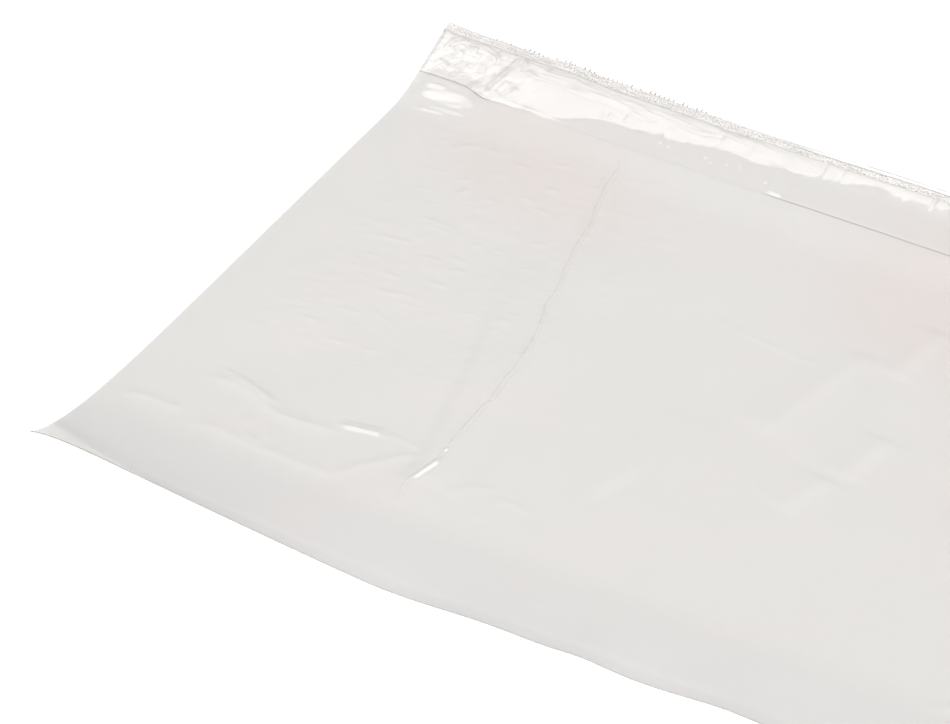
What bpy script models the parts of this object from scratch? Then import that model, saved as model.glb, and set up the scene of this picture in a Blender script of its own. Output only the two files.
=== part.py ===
"""Packing list envelope: an empty clear film pouch on its release liner.

It lies on its liner with the mouth side away at +Y. The heat-sealed top edge
curls up all along, and the front left corner curls up to a tip.
Metres, +Z up. The origin is the middle of the outer box, at the table.
"""

import math

import bpy
import numpy as np

# ---------------------------------------------------------------- dimensions
WIDTH = 0.254  # along X, the side with the mouth
HEIGHT = 0.178  # front edge to cut top edge, measured along the sheet
LINER_THICK = 0.00008
FILM_THICK = 0.00005
GAP = 0.0003  # between neighbouring webs

LIP_WIDTH = 0.0155  # cut top edge to the lip's free edge, the mouth
LIP_NARROW = 0.0013  # less of it at the left end
FACE_TUCK = 0.0080  # how far the face film runs on under the lip
SEAL_WIDTH = 0.0039  # the knurled weld along the top edge
WELD_GAP = 0.0002  # left between lip and back film along the weld

# curl of the top edge
TOP_CURL_START = 0.030  # distance from the cut edge
TOP_CURL_RUN = 0.016  # over which the sheet turns up
TOP_CURL_ANGLE = math.radians(17.7)
TOP_CORNER_ANGLE = math.radians(3.5)  # more, at the left end

# curl of the front edge and its left corner
TIP_LIFT = 0.0088
TIP_LENGTH = 0.016  # decay of the curl away from the edge
WAVE_LENGTH = 0.009  # the same for the shallow waves along the edge
FLAT_FROM = 0.075  # from here up to the top curl the sheet is flat
TIP_REACH = 0.088  # along the front edge, where the curl ends
TIP_SLOPE = 0.113

# gathered crease in the face film, from under the mouth towards the front
CREASE_HIGH = 0.0012
CREASE_HALF = 0.0022

# ---------------------------------------------------------------- the shape


def ease(t):
    """Rises smoothly from 0 to 1 between 0 and 1."""
    t = min(max(t, 0.0), 1.0)
    return t * t * (3.0 - 2.0 * t)


def soft_least(a, b, k):
    """The smaller of two numbers, with its corner rounded over k."""
    return 0.5 * (a + b - math.sqrt((a - b) ** 2 + k * k))


def hump(u, middle, half):
    """One smooth bump, 1 high."""
    t = (u - middle) / half
    return math.exp(-t * t)


def front_lift(u):
    """Height of the front edge: highest at the corner, down in a straight run."""
    ramp = TIP_SLOPE * (TIP_REACH - u)
    low = -soft_least(-ramp, 0.0, 0.0006)
    droop = 0.0007 * math.exp(-u / 0.002)
    return soft_least(TIP_LIFT, low, 0.0006) - droop


def edge_wave(u):
    """Shallow waves that the film's front edge keeps."""
    rise = hump(u, 0.114, 0.016) + 0.9 * hump(u, 0.136, 0.008)
    rise += hump(u, 0.170, 0.012) + 0.6 * hump(u, 0.212, 0.018)
    return 0.001 * rise


def top_angle(u):
    """How far the top edge is turned up at this place along it."""
    more = TOP_CORNER_ANGLE * math.exp(-u / 0.010)
    more += math.radians(1.2) * ease((u - 0.09) / 0.03)
    more += math.radians(2.4) * hump(u, 0.031, 0.004)
    more -= math.radians(1.9) * hump(u, 0.072, 0.028)
    return TOP_CURL_ANGLE + more


def fading(v, length):
    """Falls off from 1 at the front edge to nothing at FLAT_FROM."""
    return max(0.0, math.exp(-v / length) - math.exp(-FLAT_FROM / length))


def slope(u, v):
    """Sine of the sheet's angle along v, positive where it climbs towards +Y."""
    top = math.sin(top_angle(u) * ease((v - (HEIGHT - TOP_CURL_START)) / TOP_CURL_RUN))
    front = front_lift(u) / TIP_LENGTH * fading(v, TIP_LENGTH)
    wave = edge_wave(u) / WAVE_LENGTH * fading(v, WAVE_LENGTH)
    return top - front - wave


FINE = 0.0005
STEPS = int(round(HEIGHT / FINE))


def profile(u):
    """Heights and Y places along one line of the sheet, at every FINE of v."""
    s = np.array([slope(u, (k + 0.5) * FINE) for k in range(STEPS)])
    y = np.concatenate([[0.0], np.cumsum(np.sqrt(1.0 - s * s))]) * FINE
    z = np.concatenate([[0.0], np.cumsum(s)]) * FINE
    middle = STEPS // 2
    return y - y[middle] + middle * FINE, z - z[middle]


LINES = {}


def surface(u, v, raise_by):
    """A point raise_by above the underside of the sheet, along its normal."""
    if u not in LINES:
        LINES[u] = profile(u)
    y, z = LINES[u]
    at = v / FINE
    k = min(int(at), STEPS - 1)
    part = at - k
    py = y[k] + (y[k + 1] - y[k]) * part
    pz = z[k] + (z[k + 1] - z[k]) * part
    s = slope(u, min(v, HEIGHT - FINE * 0.5))
    return (u, py - s * raise_by, pz + math.sqrt(1.0 - s * s) * raise_by)


def crease_at(v):
    """The crease's place along X: straight up the sheet, then bending to the left."""
    bend = 0.008 * math.log1p(math.exp((v - 0.071) / 0.008))
    return 0.0758 - 0.234 * bend


def crease_rise(u, v):
    """The gathered film stands up in a narrow ridge, fading at both ends."""
    along = ease((v - 0.024) / 0.02) * ease((0.160 - v) / 0.04)
    across = (u - crease_at(v)) / CREASE_HALF
    return CREASE_HIGH * along * math.exp(-across * across)


# ---------------------------------------------------------------- the webs


def spaced(*runs):
    """Numbers from (end, step) runs, starting at 0."""
    out = [0.0]
    for end, step in runs:
        n = max(1, int(round((end - out[-1]) / step)))
        first = out[-1]
        out += [first + (end - first) * (k + 1) / n for k in range(n)]
    return out


ACROSS = spaced((0.016, 0.004), (0.096, 0.010), (WIDTH, 0.0158))
UP_SHEET = spaced(
    (0.008, 0.002), (0.020, 0.004), (0.044, 0.008), (HEIGHT - 0.032, 0.0204)
)
UP_CURL = [HEIGHT - 0.026, HEIGHT - 0.021]


def web(name, rows, columns, low, high, ridge=None, shift=None):
    """One closed sheet between two heights above the sheet's underside."""
    under, over = [], []
    for row in rows:
        for u in columns(row):
            v = row + (shift(u, row) if shift else 0.0)
            extra = ridge(u, v) if ridge else 0.0
            under.append(surface(u, v, low(u, v) + extra))
            over.append(surface(u, v, high(u, v) + extra))
    wide = len(columns(rows[0]))
    many = len(rows)
    verts = under + over
    lift = len(under)
    faces = []
    for j in range(many - 1):
        for i in range(wide - 1):
            a = j * wide + i
            b, c, d = a + 1, a + 1 + wide, a + wide
            faces.append((lift + a, lift + b, lift + c))
            faces.append((lift + a, lift + c, lift + d))
            faces.append((a, c, b))
            faces.append((a, d, c))
    ring = [i for i in range(wide)]
    ring += [j * wide + wide - 1 for j in range(1, many)]
    ring += [(many - 1) * wide + i for i in range(wide - 2, -1, -1)]
    ring += [j * wide for j in range(many - 2, 0, -1)]
    for k, a in enumerate(ring):
        b = ring[(k + 1) % len(ring)]
        faces.append((a, b, lift + b))
        faces.append((a, lift + b, lift + a))
    mesh = bpy.data.meshes.new(name)
    mesh.from_pydata(verts, [], faces)
    mesh.update()
    obj = bpy.data.objects.new(name, mesh)
    bpy.context.scene.collection.objects.link(obj)
    return obj


def steady(value):
    return lambda u, v: value


def film_look(name, colour, rough, clear):
    mat = bpy.data.materials.new(name)
    mat.use_nodes = True
    shader = mat.node_tree.nodes["Principled BSDF"]
    shader.inputs["Base Color"].default_value = (*colour, 1.0)
    shader.inputs["Roughness"].default_value = rough
    shader.inputs["Metallic"].default_value = 0.0
    shader.inputs["Alpha"].default_value = clear
    return mat


for old in list(bpy.data.objects):
    bpy.data.objects.remove(old, do_unlink=True)

plain_columns = lambda v: ACROSS
top_rows = [HEIGHT - LIP_WIDTH, HEIGHT - 0.012, HEIGHT - 0.008]
seal_rows = [HEIGHT - SEAL_WIDTH, HEIGHT]
all_rows = UP_SHEET + UP_CURL + top_rows + seal_rows

# Heights above the underside, web by web.
back_low = LINER_THICK + GAP
face_low = back_low + FILM_THICK + GAP
lip_low = face_low + FILM_THICK + GAP

liner = web(
    "release_liner", all_rows, plain_columns, steady(0.0), steady(LINER_THICK)
)
back = web(
    "back_film",
    all_rows,
    plain_columns,
    steady(back_low),
    steady(back_low + FILM_THICK),
)

# The face film has extra columns that follow the crease.
RIDGE = [-0.0045, -0.0022, -0.0011, 0.0, 0.0011, 0.0022, 0.0045]


def face_columns(v):
    middle = crease_at(v)
    near = [middle + r for r in RIDGE]
    left = [u for u in ACROSS if u < 0.050]
    right = [u for u in ACROSS if u > 0.082]
    return left + near + right


face_rows = UP_SHEET + UP_CURL + [HEIGHT - LIP_WIDTH, HEIGHT - 0.012]
face_rows += [HEIGHT - LIP_WIDTH + FACE_TUCK]
face = web(
    "face_film",
    face_rows,
    face_columns,
    steady(face_low),
    steady(face_low + FILM_THICK),
    crease_rise,
)


def lip_height(u, v):
    """The lip lies over the face film and comes down to the weld."""
    down = ease((v - (HEIGHT - 0.0065)) / 0.0026)
    return lip_low - (GAP + FILM_THICK + GAP - WELD_GAP) * down


def mouth_edge(u, row):
    """The lip's free edge steps up a little at the left end."""
    share = max(0.0, (HEIGHT - 0.012 - row) / (LIP_WIDTH - 0.012))
    return LIP_NARROW * share * (1.0 - ease((u - 0.011) / 0.007))


lip_rows = [HEIGHT - LIP_WIDTH, HEIGHT - 0.012, HEIGHT - 0.008]
lip_rows += [HEIGHT - 0.0065, HEIGHT - 0.0052, HEIGHT - SEAL_WIDTH, HEIGHT]
lip = web(
    "lip_film",
    lip_rows,
    plain_columns,
    lip_height,
    lambda u, v: lip_height(u, v) + FILM_THICK,
    shift=mouth_edge,
)

looks = {
    "release_liner": ((0.80, 0.79, 0.77), 0.55, 1.0),
    "back_film": ((0.90, 0.89, 0.88), 0.30, 0.5),
    "face_film": ((0.92, 0.91, 0.90), 0.22, 0.4),
    "lip_film": ((0.95, 0.95, 0.94), 0.12, 0.4),
}
webs = [liner, back, face, lip]
for obj in webs:
    obj.data.materials.append(film_look(obj.name, *looks[obj.name]))

# Put the origin under the middle of the outer box.
points = [p.co for obj in webs for p in obj.data.vertices]
mid_x = 0.5 * (min(p.x for p in points) + max(p.x for p in points))
mid_y = 0.5 * (min(p.y for p in points) + max(p.y for p in points))
low_z = min(p.z for p in points)
for obj in webs:
    for vert in obj.data.vertices:
        vert.co.x -= mid_x
        vert.co.y -= mid_y
        vert.co.z -= low_z
    obj.data.update()
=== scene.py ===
"""The packing list envelope as it looks: four webs of clear film and paper, close
together, with the creases, ripples and knurled weld that the film has."""

import math

import bpy
import numpy as np
from mathutils import Matrix, Vector


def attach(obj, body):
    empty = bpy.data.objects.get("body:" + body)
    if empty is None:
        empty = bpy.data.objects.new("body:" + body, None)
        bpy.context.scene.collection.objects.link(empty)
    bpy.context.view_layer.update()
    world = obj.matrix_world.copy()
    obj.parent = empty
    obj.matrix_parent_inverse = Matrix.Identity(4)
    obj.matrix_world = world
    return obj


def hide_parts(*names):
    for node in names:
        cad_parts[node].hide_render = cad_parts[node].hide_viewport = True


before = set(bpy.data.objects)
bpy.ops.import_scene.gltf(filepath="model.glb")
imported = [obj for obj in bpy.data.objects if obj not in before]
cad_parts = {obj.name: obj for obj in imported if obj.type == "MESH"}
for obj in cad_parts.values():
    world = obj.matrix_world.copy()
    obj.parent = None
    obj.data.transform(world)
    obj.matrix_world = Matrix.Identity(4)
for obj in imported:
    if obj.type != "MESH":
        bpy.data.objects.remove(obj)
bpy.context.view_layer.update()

# ------------------------------------------------------------------ dimensions
MM = 0.001
WIDTH = 254.0 * MM
HEIGHT = 178.0 * MM
LIP_WIDTH = 15.5 * MM
LIP_NARROW = 1.3 * MM
FACE_END = HEIGHT - 7.5 * MM
SEAL_WIDTH = 3.0 * MM
CENTRE_X = 127.0 * MM
CENTRE_Y = 88.6229 * MM

TOP_CURL_START = 30.0 * MM
TOP_CURL_RUN = 16.0 * MM
TOP_CURL_ANGLE = math.radians(17.7)
TOP_CORNER_ANGLE = math.radians(3.5)
TIP_LIFT = 8.8 * MM
TIP_LENGTH = 16.0 * MM
WAVE_LENGTH = 9.0 * MM
FLAT_FROM = 75.0 * MM
TIP_REACH = 88.0 * MM
TIP_SLOPE = 0.113

# Heights of the webs above the table, where the sheet lies flat. They lie
# closer than the solids they stand for, as real film does.
LINER_TOP = 0.08 * MM
BACK_LOW = 0.11 * MM
FACE_LOW = 0.21 * MM
LIP_LOW = 0.34 * MM
FILM = 0.05 * MM

# ------------------------------------------------------------------- the shape


def ease(t):
    t = np.clip(t, 0.0, 1.0)
    return t * t * (3.0 - 2.0 * t)


def soft_least(a, b, k):
    return 0.5 * (a + b - np.sqrt((a - b) ** 2 + k * k))


def hump(u, middle, half):
    return np.exp(-(((u - middle) / half) ** 2))


def front_lift(u):
    ramp = TIP_SLOPE * (TIP_REACH - u)
    low = -soft_least(-ramp, 0.0, 0.6 * MM)
    return soft_least(TIP_LIFT, low, 0.6 * MM) - 0.7 * MM * np.exp(-u / (2.0 * MM))


def edge_wave(u):
    rise = hump(u, 0.114, 0.016) + 0.9 * hump(u, 0.136, 0.008)
    return MM * (rise + hump(u, 0.170, 0.012) + 0.6 * hump(u, 0.212, 0.018))


def top_angle(u):
    more = TOP_CORNER_ANGLE * np.exp(-u / 0.010)
    more = more + math.radians(1.2) * ease((u - 0.09) / 0.03)
    more = more + math.radians(2.4) * hump(u, 0.031, 0.004)
    return TOP_CURL_ANGLE + more - math.radians(1.9) * hump(u, 0.072, 0.028)


def fading(v, length):
    return np.maximum(0.0, np.exp(-v / length) - math.exp(-FLAT_FROM / length))


def slope(u, v):
    """Sine of the sheet's angle along v."""
    start = HEIGHT - TOP_CURL_START
    top = np.sin(top_angle(u) * ease((v - start) / TOP_CURL_RUN))
    front = front_lift(u) / TIP_LENGTH * fading(v, TIP_LENGTH)
    return top - front - edge_wave(u) / WAVE_LENGTH * fading(v, WAVE_LENGTH)


FINE = 0.5 * MM
BEYOND = 2.0 * MM  # the serrated cut goes a little past the nominal edge
STEPS = int(round((HEIGHT + BEYOND) / FINE))
COLUMNS = int(round(WIDTH / FINE))


def profiles():
    """Y and Z along every line of the sheet, on a grid of FINE by FINE."""
    u = np.arange(COLUMNS + 1)[:, None] * FINE
    s = slope(u, (np.arange(STEPS)[None, :] + 0.5) * FINE)
    nothing = np.zeros((COLUMNS + 1, 1))
    y = np.hstack([nothing, np.cumsum(np.sqrt(1.0 - s * s), axis=1)]) * FINE
    z = np.hstack([nothing, np.cumsum(s, axis=1)]) * FINE
    middle = int(round(HEIGHT / FINE)) // 2
    return y - y[:, middle : middle + 1] + middle * FINE, z - z[:, middle : middle + 1]


PROFILE_Y, PROFILE_Z = profiles()


def at(table, u, v):
    """Bilinear look-up in a table on the FINE grid."""
    x = np.clip(u / FINE, 0.0, COLUMNS - 1e-6)
    y = np.clip(v / FINE, 0.0, STEPS - 1e-6)
    i, j = x.astype(int), y.astype(int)
    fx, fy = x - i, y - j
    low = table[i, j] * (1 - fx) + table[i + 1, j] * fx
    high = table[i, j + 1] * (1 - fx) + table[i + 1, j + 1] * fx
    return low * (1 - fy) + high * fy


def surface(u, v, height):
    """Points in the row frame, height above the sheet's underside."""
    s = slope(u, np.minimum(v, HEIGHT - FINE * 0.5))
    y = at(PROFILE_Y, u, v) - s * height - CENTRE_Y
    z = at(PROFILE_Z, u, v) + np.sqrt(1.0 - s * s) * height
    return np.stack([u - CENTRE_X, y, z], axis=-1)


# ------------------------------------------------------------ fields and folds


def smooth_noise(x, y, seed):
    """Value noise from -1 to 1 with a cell of 1."""
    table = np.random.RandomState(seed).uniform(-1.0, 1.0, (64, 64))
    i, j = np.floor(x).astype(int), np.floor(y).astype(int)
    fx, fy = x - i, y - j
    fx = fx * fx * fx * (fx * (fx * 6 - 15) + 10)
    fy = fy * fy * fy * (fy * (fy * 6 - 15) + 10)
    a, b = table[i % 64, j % 64], table[(i + 1) % 64, j % 64]
    c, d = table[i % 64, (j + 1) % 64], table[(i + 1) % 64, (j + 1) % 64]
    return (a * (1 - fx) + b * fx) * (1 - fy) + (c * (1 - fx) + d * fx) * fy


def grain(u, v, long, short, angle, seed):
    """Noise drawn out along a direction in the sheet, with cells long x short."""
    c, s = math.cos(angle), math.sin(angle)
    along, across = (u * c + v * s) / long, (v * c - u * s) / short
    return smooth_noise(along + 17.3, across + 5.7, seed)


def line_distance(u, v, points):
    """Signed distance to a polyline and the share of the way along it.
    Positive is to the right of the line's direction."""
    best = np.full(np.shape(u), 1e9)
    share = np.zeros(np.shape(u))
    side = np.zeros(np.shape(u))
    points = [(a * MM, b * MM) for a, b in points]
    lengths = [math.dist(p, q) for p, q in zip(points, points[1:])]
    total, gone = sum(lengths), 0.0
    for (au, av), (bu, bv), size in zip(points, points[1:], lengths):
        du, dv = (bu - au) / size, (bv - av) / size
        t = np.clip((u - au) * du + (v - av) * dv, 0.0, size)
        ou, ov = u - au - du * t, v - av - dv * t
        far = np.hypot(ou, ov)
        near = far < best
        best = np.where(near, far, best)
        side = np.where(near, np.sign(ou * dv - ov * du), side)
        share = np.where(near, (gone + t) / total, share)
        gone += size
    return best * side, share


def rounded(points, times=2):
    """The same line with its corners cut."""
    for _ in range(times):
        out = [points[0]]
        for (a, b), (c, d) in zip(points, points[1:]):
            out += [(0.75 * a + 0.25 * c, 0.75 * b + 0.25 * d)]
            out += [(0.25 * a + 0.75 * c, 0.25 * b + 0.75 * d)]
        points = out + [points[-1]]
    return points


def fold(u, v, points, high, left, right, ends=0.15):
    """A fold along a line: a crest that falls off over left and right, in mm."""
    reach = 4.0 * max(left, right) * MM
    us, vs = [p[0] * MM for p in points], [p[1] * MM for p in points]
    near = (u > min(us) - reach) & (u < max(us) + reach)
    near &= (v > min(vs) - reach) & (v < max(vs) + reach)
    out = np.zeros(np.shape(u))
    if near.any():
        off, share = line_distance(u[near], v[near], rounded(points))
        wide = np.where(off > 0, right * MM, left * MM)
        fade = ease(share / ends) * ease((1.0 - share) / ends)
        out[near] = high * MM * fade * np.exp(-np.abs(off / wide) ** 1.35)
    return out


def roof(u, v, points, high, left, right, ends=0.25):
    """Like a fold, with straight flanks."""
    reach = 1.5 * max(left, right) * MM
    us, vs = [p[0] * MM for p in points], [p[1] * MM for p in points]
    near = (u > min(us) - reach) & (u < max(us) + reach)
    near &= (v > min(vs) - reach) & (v < max(vs) + reach)
    out = np.zeros(np.shape(u))
    if near.any():
        off, share = line_distance(u[near], v[near], rounded(points))
        flank = np.where(off > 0, right * MM, left * MM)
        fade = ease(share / ends) * ease((1.0 - share) / ends)
        fade = fade * (1 + 0.12 * smooth_noise(u[near] / (1.3 * MM), v[near] / (0.9 * MM), 77))
        out[near] = high * MM * fade * np.clip(1.0 - np.abs(off) / flank, 0.0, 1.0)
    return out


# ---------------------------------------------------------------- mesh builder


def film_mesh(name, us, vs, low, high, shift=None, coarse=1, columns=None, weld=None, crease=None):
    """A closed thin sheet. low and high give the heights of its two sides at
    (u, v). The under side may take every second row and column."""
    u, v = np.meshgrid(us, vs)
    if columns is not None:
        u = columns(u, v)
    if shift is not None:
        v = v + shift(u, v)
    over = surface(u, v, high(u, v))
    ub, vb = u[::coarse, ::coarse], v[::coarse, ::coarse]
    under = surface(ub, vb, low(ub, vb))
    nv, nu = u.shape
    mv, mu = ub.shape
    top = np.arange(nv * nu).reshape(nv, nu)
    bottom = np.arange(mv * mu).reshape(mv, mu) + nv * nu
    a, b = top[:-1, :-1], top[:-1, 1:]
    c, d = top[1:, 1:], top[1:, :-1]
    faces = np.stack([a, b, c, d], axis=-1).reshape(-1, 4).tolist()
    a, b = bottom[:-1, :-1], bottom[:-1, 1:]
    c, d = bottom[1:, 1:], bottom[1:, :-1]
    faces += np.stack([a, d, c, b], axis=-1).reshape(-1, 4).tolist()
    flat_from = len(faces)

    def ring(g):
        way = list(g[0, :]) + list(g[1:, -1]) + list(g[-1, -2::-1])
        return [int(k) for k in way + list(g[-2:0:-1, 0])]

    outer, inner = ring(top), ring(bottom)
    for k in range(len(inner)):
        rim = [inner[k], inner[(k + 1) % len(inner)]]
        for j in range(coarse, -1, -1):
            rim.append(outer[(k * coarse + j) % len(outer)])
        faces.append(rim)
    mesh = bpy.data.meshes.new(name)
    verts = np.concatenate([over.reshape(-1, 3), under.reshape(-1, 3)])
    mesh.from_pydata(verts.tolist(), [], faces)
    smooth = np.ones(len(faces), dtype=bool)
    smooth[flat_from:] = False
    mesh.polygons.foreach_set("use_smooth", smooth)
    index = np.zeros(len(faces), dtype=np.int32)
    index[(nv - 1) * (nu - 1) : flat_from] = 2  # the under side
    index[flat_from:] = 1
    if weld is not None:  # rows from this one on belong to the weld
        rows = np.repeat(np.arange(nv - 1), nu - 1) >= weld
        index[: len(rows)] = np.where(rows, 3, 0)
        index[len(rows) : 2 * len(rows)] = np.where(rows, 3, 2)
    for _ in range(4 if weld is not None else 3):
        mesh.materials.append(None)
    mesh.polygons.foreach_set("material_index", index)
    mesh.update()
    mesh.validate()
    # Sheet coordinates for the materials, in metres, kept on the mesh.
    place = np.concatenate(
        [np.stack([u, v], -1).reshape(-1, 2), np.stack([ub, vb], -1).reshape(-1, 2)]
    )
    layer = mesh.uv_layers.new(name="sheet")
    corner = np.zeros(len(mesh.loops), dtype=np.int32)
    mesh.loops.foreach_get("vertex_index", corner)
    layer.data.foreach_set("uv", place[corner].astype(np.float32).ravel())
    if crease is not None:  # the distance from the crease, for the material
        off = np.stack([place[:, 0] - crease(place[:, 1]), place[:, 1]], axis=-1)
        layer = mesh.uv_layers.new(name="crease")
        layer.data.foreach_set("uv", off[corner].astype(np.float32).ravel())
    # The rims meet both sides in a sharp edge.
    ends = np.zeros(2 * len(mesh.edges), dtype=np.int32)
    mesh.edges.foreach_get("vertices", ends)
    sharp = np.zeros(len(mesh.edges), dtype=bool)
    for loop in (outer, inner):
        order = np.full(len(verts), -9)
        order[loop] = np.arange(len(loop))
        one, two = order[ends[0::2]], order[ends[1::2]]
        apart = np.abs(one - two)
        sharp |= (one >= 0) & (two >= 0) & ((apart == 1) | (apart == len(loop) - 1))
    mesh.edges.foreach_set("use_edge_sharp", sharp)
    obj = bpy.data.objects.new(name, mesh)
    bpy.context.scene.collection.objects.link(obj)
    return obj


def steps(*runs):
    """Numbers from (end, step) runs, from the first end on, in mm."""
    out = [runs[0]]
    for end, step in runs[1:]:
        n = max(1, int(round((end - out[-1]) / step)))
        first = out[-1]
        out += [first + (end - first) * (k + 1) / n for k in range(n)]
    return np.array(out) * MM


def even_gaps(values):
    """The list with one more number, where needed, so that it can be halved."""
    if len(values) % 2 == 0:
        values = np.insert(values, -1, 0.5 * (values[-2] + values[-1]))
    return values


# ------------------------------------------------------------------- face film
CREASE_V = [27.4, 29.8, 34.6, 37.2, 41.9, 48.7, 54.7, 60.6, 68.3, 76.0, 80.8, 89.6,
            96.0, 102.9, 110.6, 119.7, 127.2, 135.1, 140.5, 149.2, 155.0, 160.1]  # fmt: skip
CREASE_U = [75.1, 74.4, 73.3, 74.2, 75.1, 74.8, 74.5, 74.0, 74.2, 73.2, 72.8, 71.4,
            70.0, 67.5, 66.0, 63.3, 61.4, 60.2, 58.3, 56.1, 55.5, 53.9]  # fmt: skip
CREASE_HOME = 71.0 * MM


def crease_at(v):
    kinks = 0.16 * MM * smooth_noise(v / (2.2 * MM), v * 0 + 4.4, 15)
    return np.interp(v / MM, CREASE_V, CREASE_U) * MM + kinks


def follow_crease(u, v):
    """Bends the mesh's columns so that its narrow ones run along the crease."""
    near = np.where(u < CREASE_HOME, ease(u / (66 * MM)), ease((136 * MM - u) / (60 * MM)))
    return u + (crease_at(v) - CREASE_HOME) * near


def border_fade(u, v, wide=4.0):
    """0 at the welded edges of the pouch, 1 inside."""
    side = np.minimum(u, WIDTH - u)
    return ease(side / (wide * MM)) * ease(v / (wide * MM))


def window(t, start, end, soft):
    """1 between start and end, all in mm, with soft flanks."""
    return ease((t / MM - start) / soft + 0.5) * ease((end - t / MM) / soft + 0.5)


# Folds of the face film: points along the sheet in mm, height, and the widths
# to the left and right of the line.
FACE_FOLDS = [
    ([(16.5, 45.0), (21.9, 45.9), (26.0, 45.4), (31.0, 44.2), (35.3, 41.2), (40.6, 40.7), (46.5, 41.3), (53, 42.6)], 0.34, 1.9, 1.3),
    ([(18.2, 49.3), (24.3, 48.2), (29.1, 46.5), (33.5, 43.6)], 0.24, 1.1, 1.0),
    ([(20.0, 47.5), (26.0, 47.0), (31.0, 45.6), (36.0, 43.8)], 0.16, 0.9, 0.9),
    ([(27.2, 47.9), (29.6, 49.3)], 0.07, 0.4, 0.4),
    ([(30.1, 52.7), (32.4, 53.5)], 0.06, 0.4, 0.4),
    ([(33.7, 38.5), (33.0, 35.5), (33.5, 32.6), (36.1, 30.4), (38.7, 30.3), (41.0, 30.5)], 0.16, 1.0, 0.8),
    ([(35.0, 39.9), (38.0, 35.5), (40.8, 31.0)], 0.20, 0.9, 0.8),
    ([(5.0, 30.0), (9.3, 31.6), (13.5, 31.7), (16.3, 31.2), (19.8, 32.3)], 0.24, 1.6, 1.3),
    ([(22.5, 29.3), (28.0, 29.4), (32.5, 29.3), (37.1, 28.3), (43.1, 28.3), (52.6, 27.9), (62.5, 28.4)], 0.22, 2.5, 1.4),
    ([(59.6, 28.0), (60.8, 32.7), (64.2, 36.5), (67.7, 41.1), (70.6, 44.6)], 0.24, 1.2, 0.9),
    ([(61.0, 47.3), (66.0, 46.6), (70.5, 45.6)], 0.12, 1.2, 1.2),
    ([(42.6, 34.3), (42.4, 37.5), (43.6, 39.8)], 0.08, 0.5, 0.5),
    ([(93.3, 30.1), (93.2, 35.4), (93.4, 40.5)], 0.16, 1.1, 1.4),
    ([(94.6, 39.2), (98.5, 39.0), (102.9, 37.6)], 0.12, 1.1, 1.1),
    ([(82.1, 34.4), (85.5, 40.2), (91.5, 41.0)], 0.18, 1.3, 2.0),
    ([(118.3, 10.2), (119.5, 13.7), (121.2, 17.0)], 0.10, 0.7, 0.7),
    ([(98.8, 74.0), (98.9, 77.8), (98.6, 82.0)], 0.09, 0.35, 0.35),
    ([(135.0, 25.4), (135.1, 29.4), (134.4, 32.8)], 0.10, 0.7, 0.7),
    ([(165.6, 21.2), (164.3, 25.5), (163.3, 29.2)], 0.10, 0.8, 0.8),
    ([(130.2, 86.0), (133.5, 97.7), (135.7, 111.4), (137.0, 125.4)], 0.45, 6.5, 2.4),
    ([(153.2, 81.5), (154.3, 90.1), (155.7, 100.2)], 0.36, 5.5, 2.1),
    ([(147.2, 65.4), (149.5, 72.6), (151.4, 81.2)], 0.36, 5.5, 2.1),
    ([(145.4, 118.1), (147.1, 128.6), (147.1, 140.4)], 0.40, 6.0, 2.3),
    ([(99.3, 120.6), (106.7, 117.5), (118.4, 116.0), (129.9, 114.5)], 0.10, 0.7, 0.7),
    ([(107.6, 123.6), (108.9, 122.6)], 0.06, 0.35, 0.35),
    ([(97.6, 156.1), (102.4, 154.2)], 0.12, 0.4, 0.4),
    ([(94.6, 159.4), (99.8, 157.3)], 0.10, 0.4, 0.4),
    ([(75.9, 26.4), (74.6, 30.5), (73.6, 34.3)], 0.15, 0.6, 0.4),
    # beyond the photo's frame: the same kinds of folds
    ([(170, 92), (178, 104), (183, 121)], 0.40, 6.0, 2.3),
    ([(196, 60), (203, 76), (205, 92)], 0.24, 2.8, 2.8),
    ([(186, 128), (197, 131), (214, 128)], 0.10, 0.8, 0.8),
    ([(222, 44), (231, 38), (243, 36)], 0.18, 1.4, 1.0),
    ([(226, 104), (229, 118), (228, 136)], 0.22, 2.4, 2.4),
    ([(205, 22), (214, 26), (228, 25)], 0.18, 2.2, 1.4),
]  # fmt: skip
FACE_ROOFS = [
    ([(50.0, 44.4), (54.3, 45.0), (57.4, 45.6), (62.0, 46.5)], 0.52, 2.6, 1.06),
    ([(73.0, 33.0), (74.1, 36.0), (75.0, 40.6), (76.2, 46.0)], 0.42, 1.0, 0.84),
    ([(74.7, 46.9), (75.3, 49.0)], 0.30, 0.5, 0.6),
    ([(74.4, 66.5), (74.9, 68.2)], 0.27, 0.45, 0.55),
    ([(4.4, 153.9), (8.6, 154.3), (13.0, 155.0)], 0.28, 3.4, 0.80),
    ([(7.0, 157.2), (11.5, 157.6), (15.8, 158.6)], 0.17, 2.4, 0.66),
]  # fmt: skip
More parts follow.
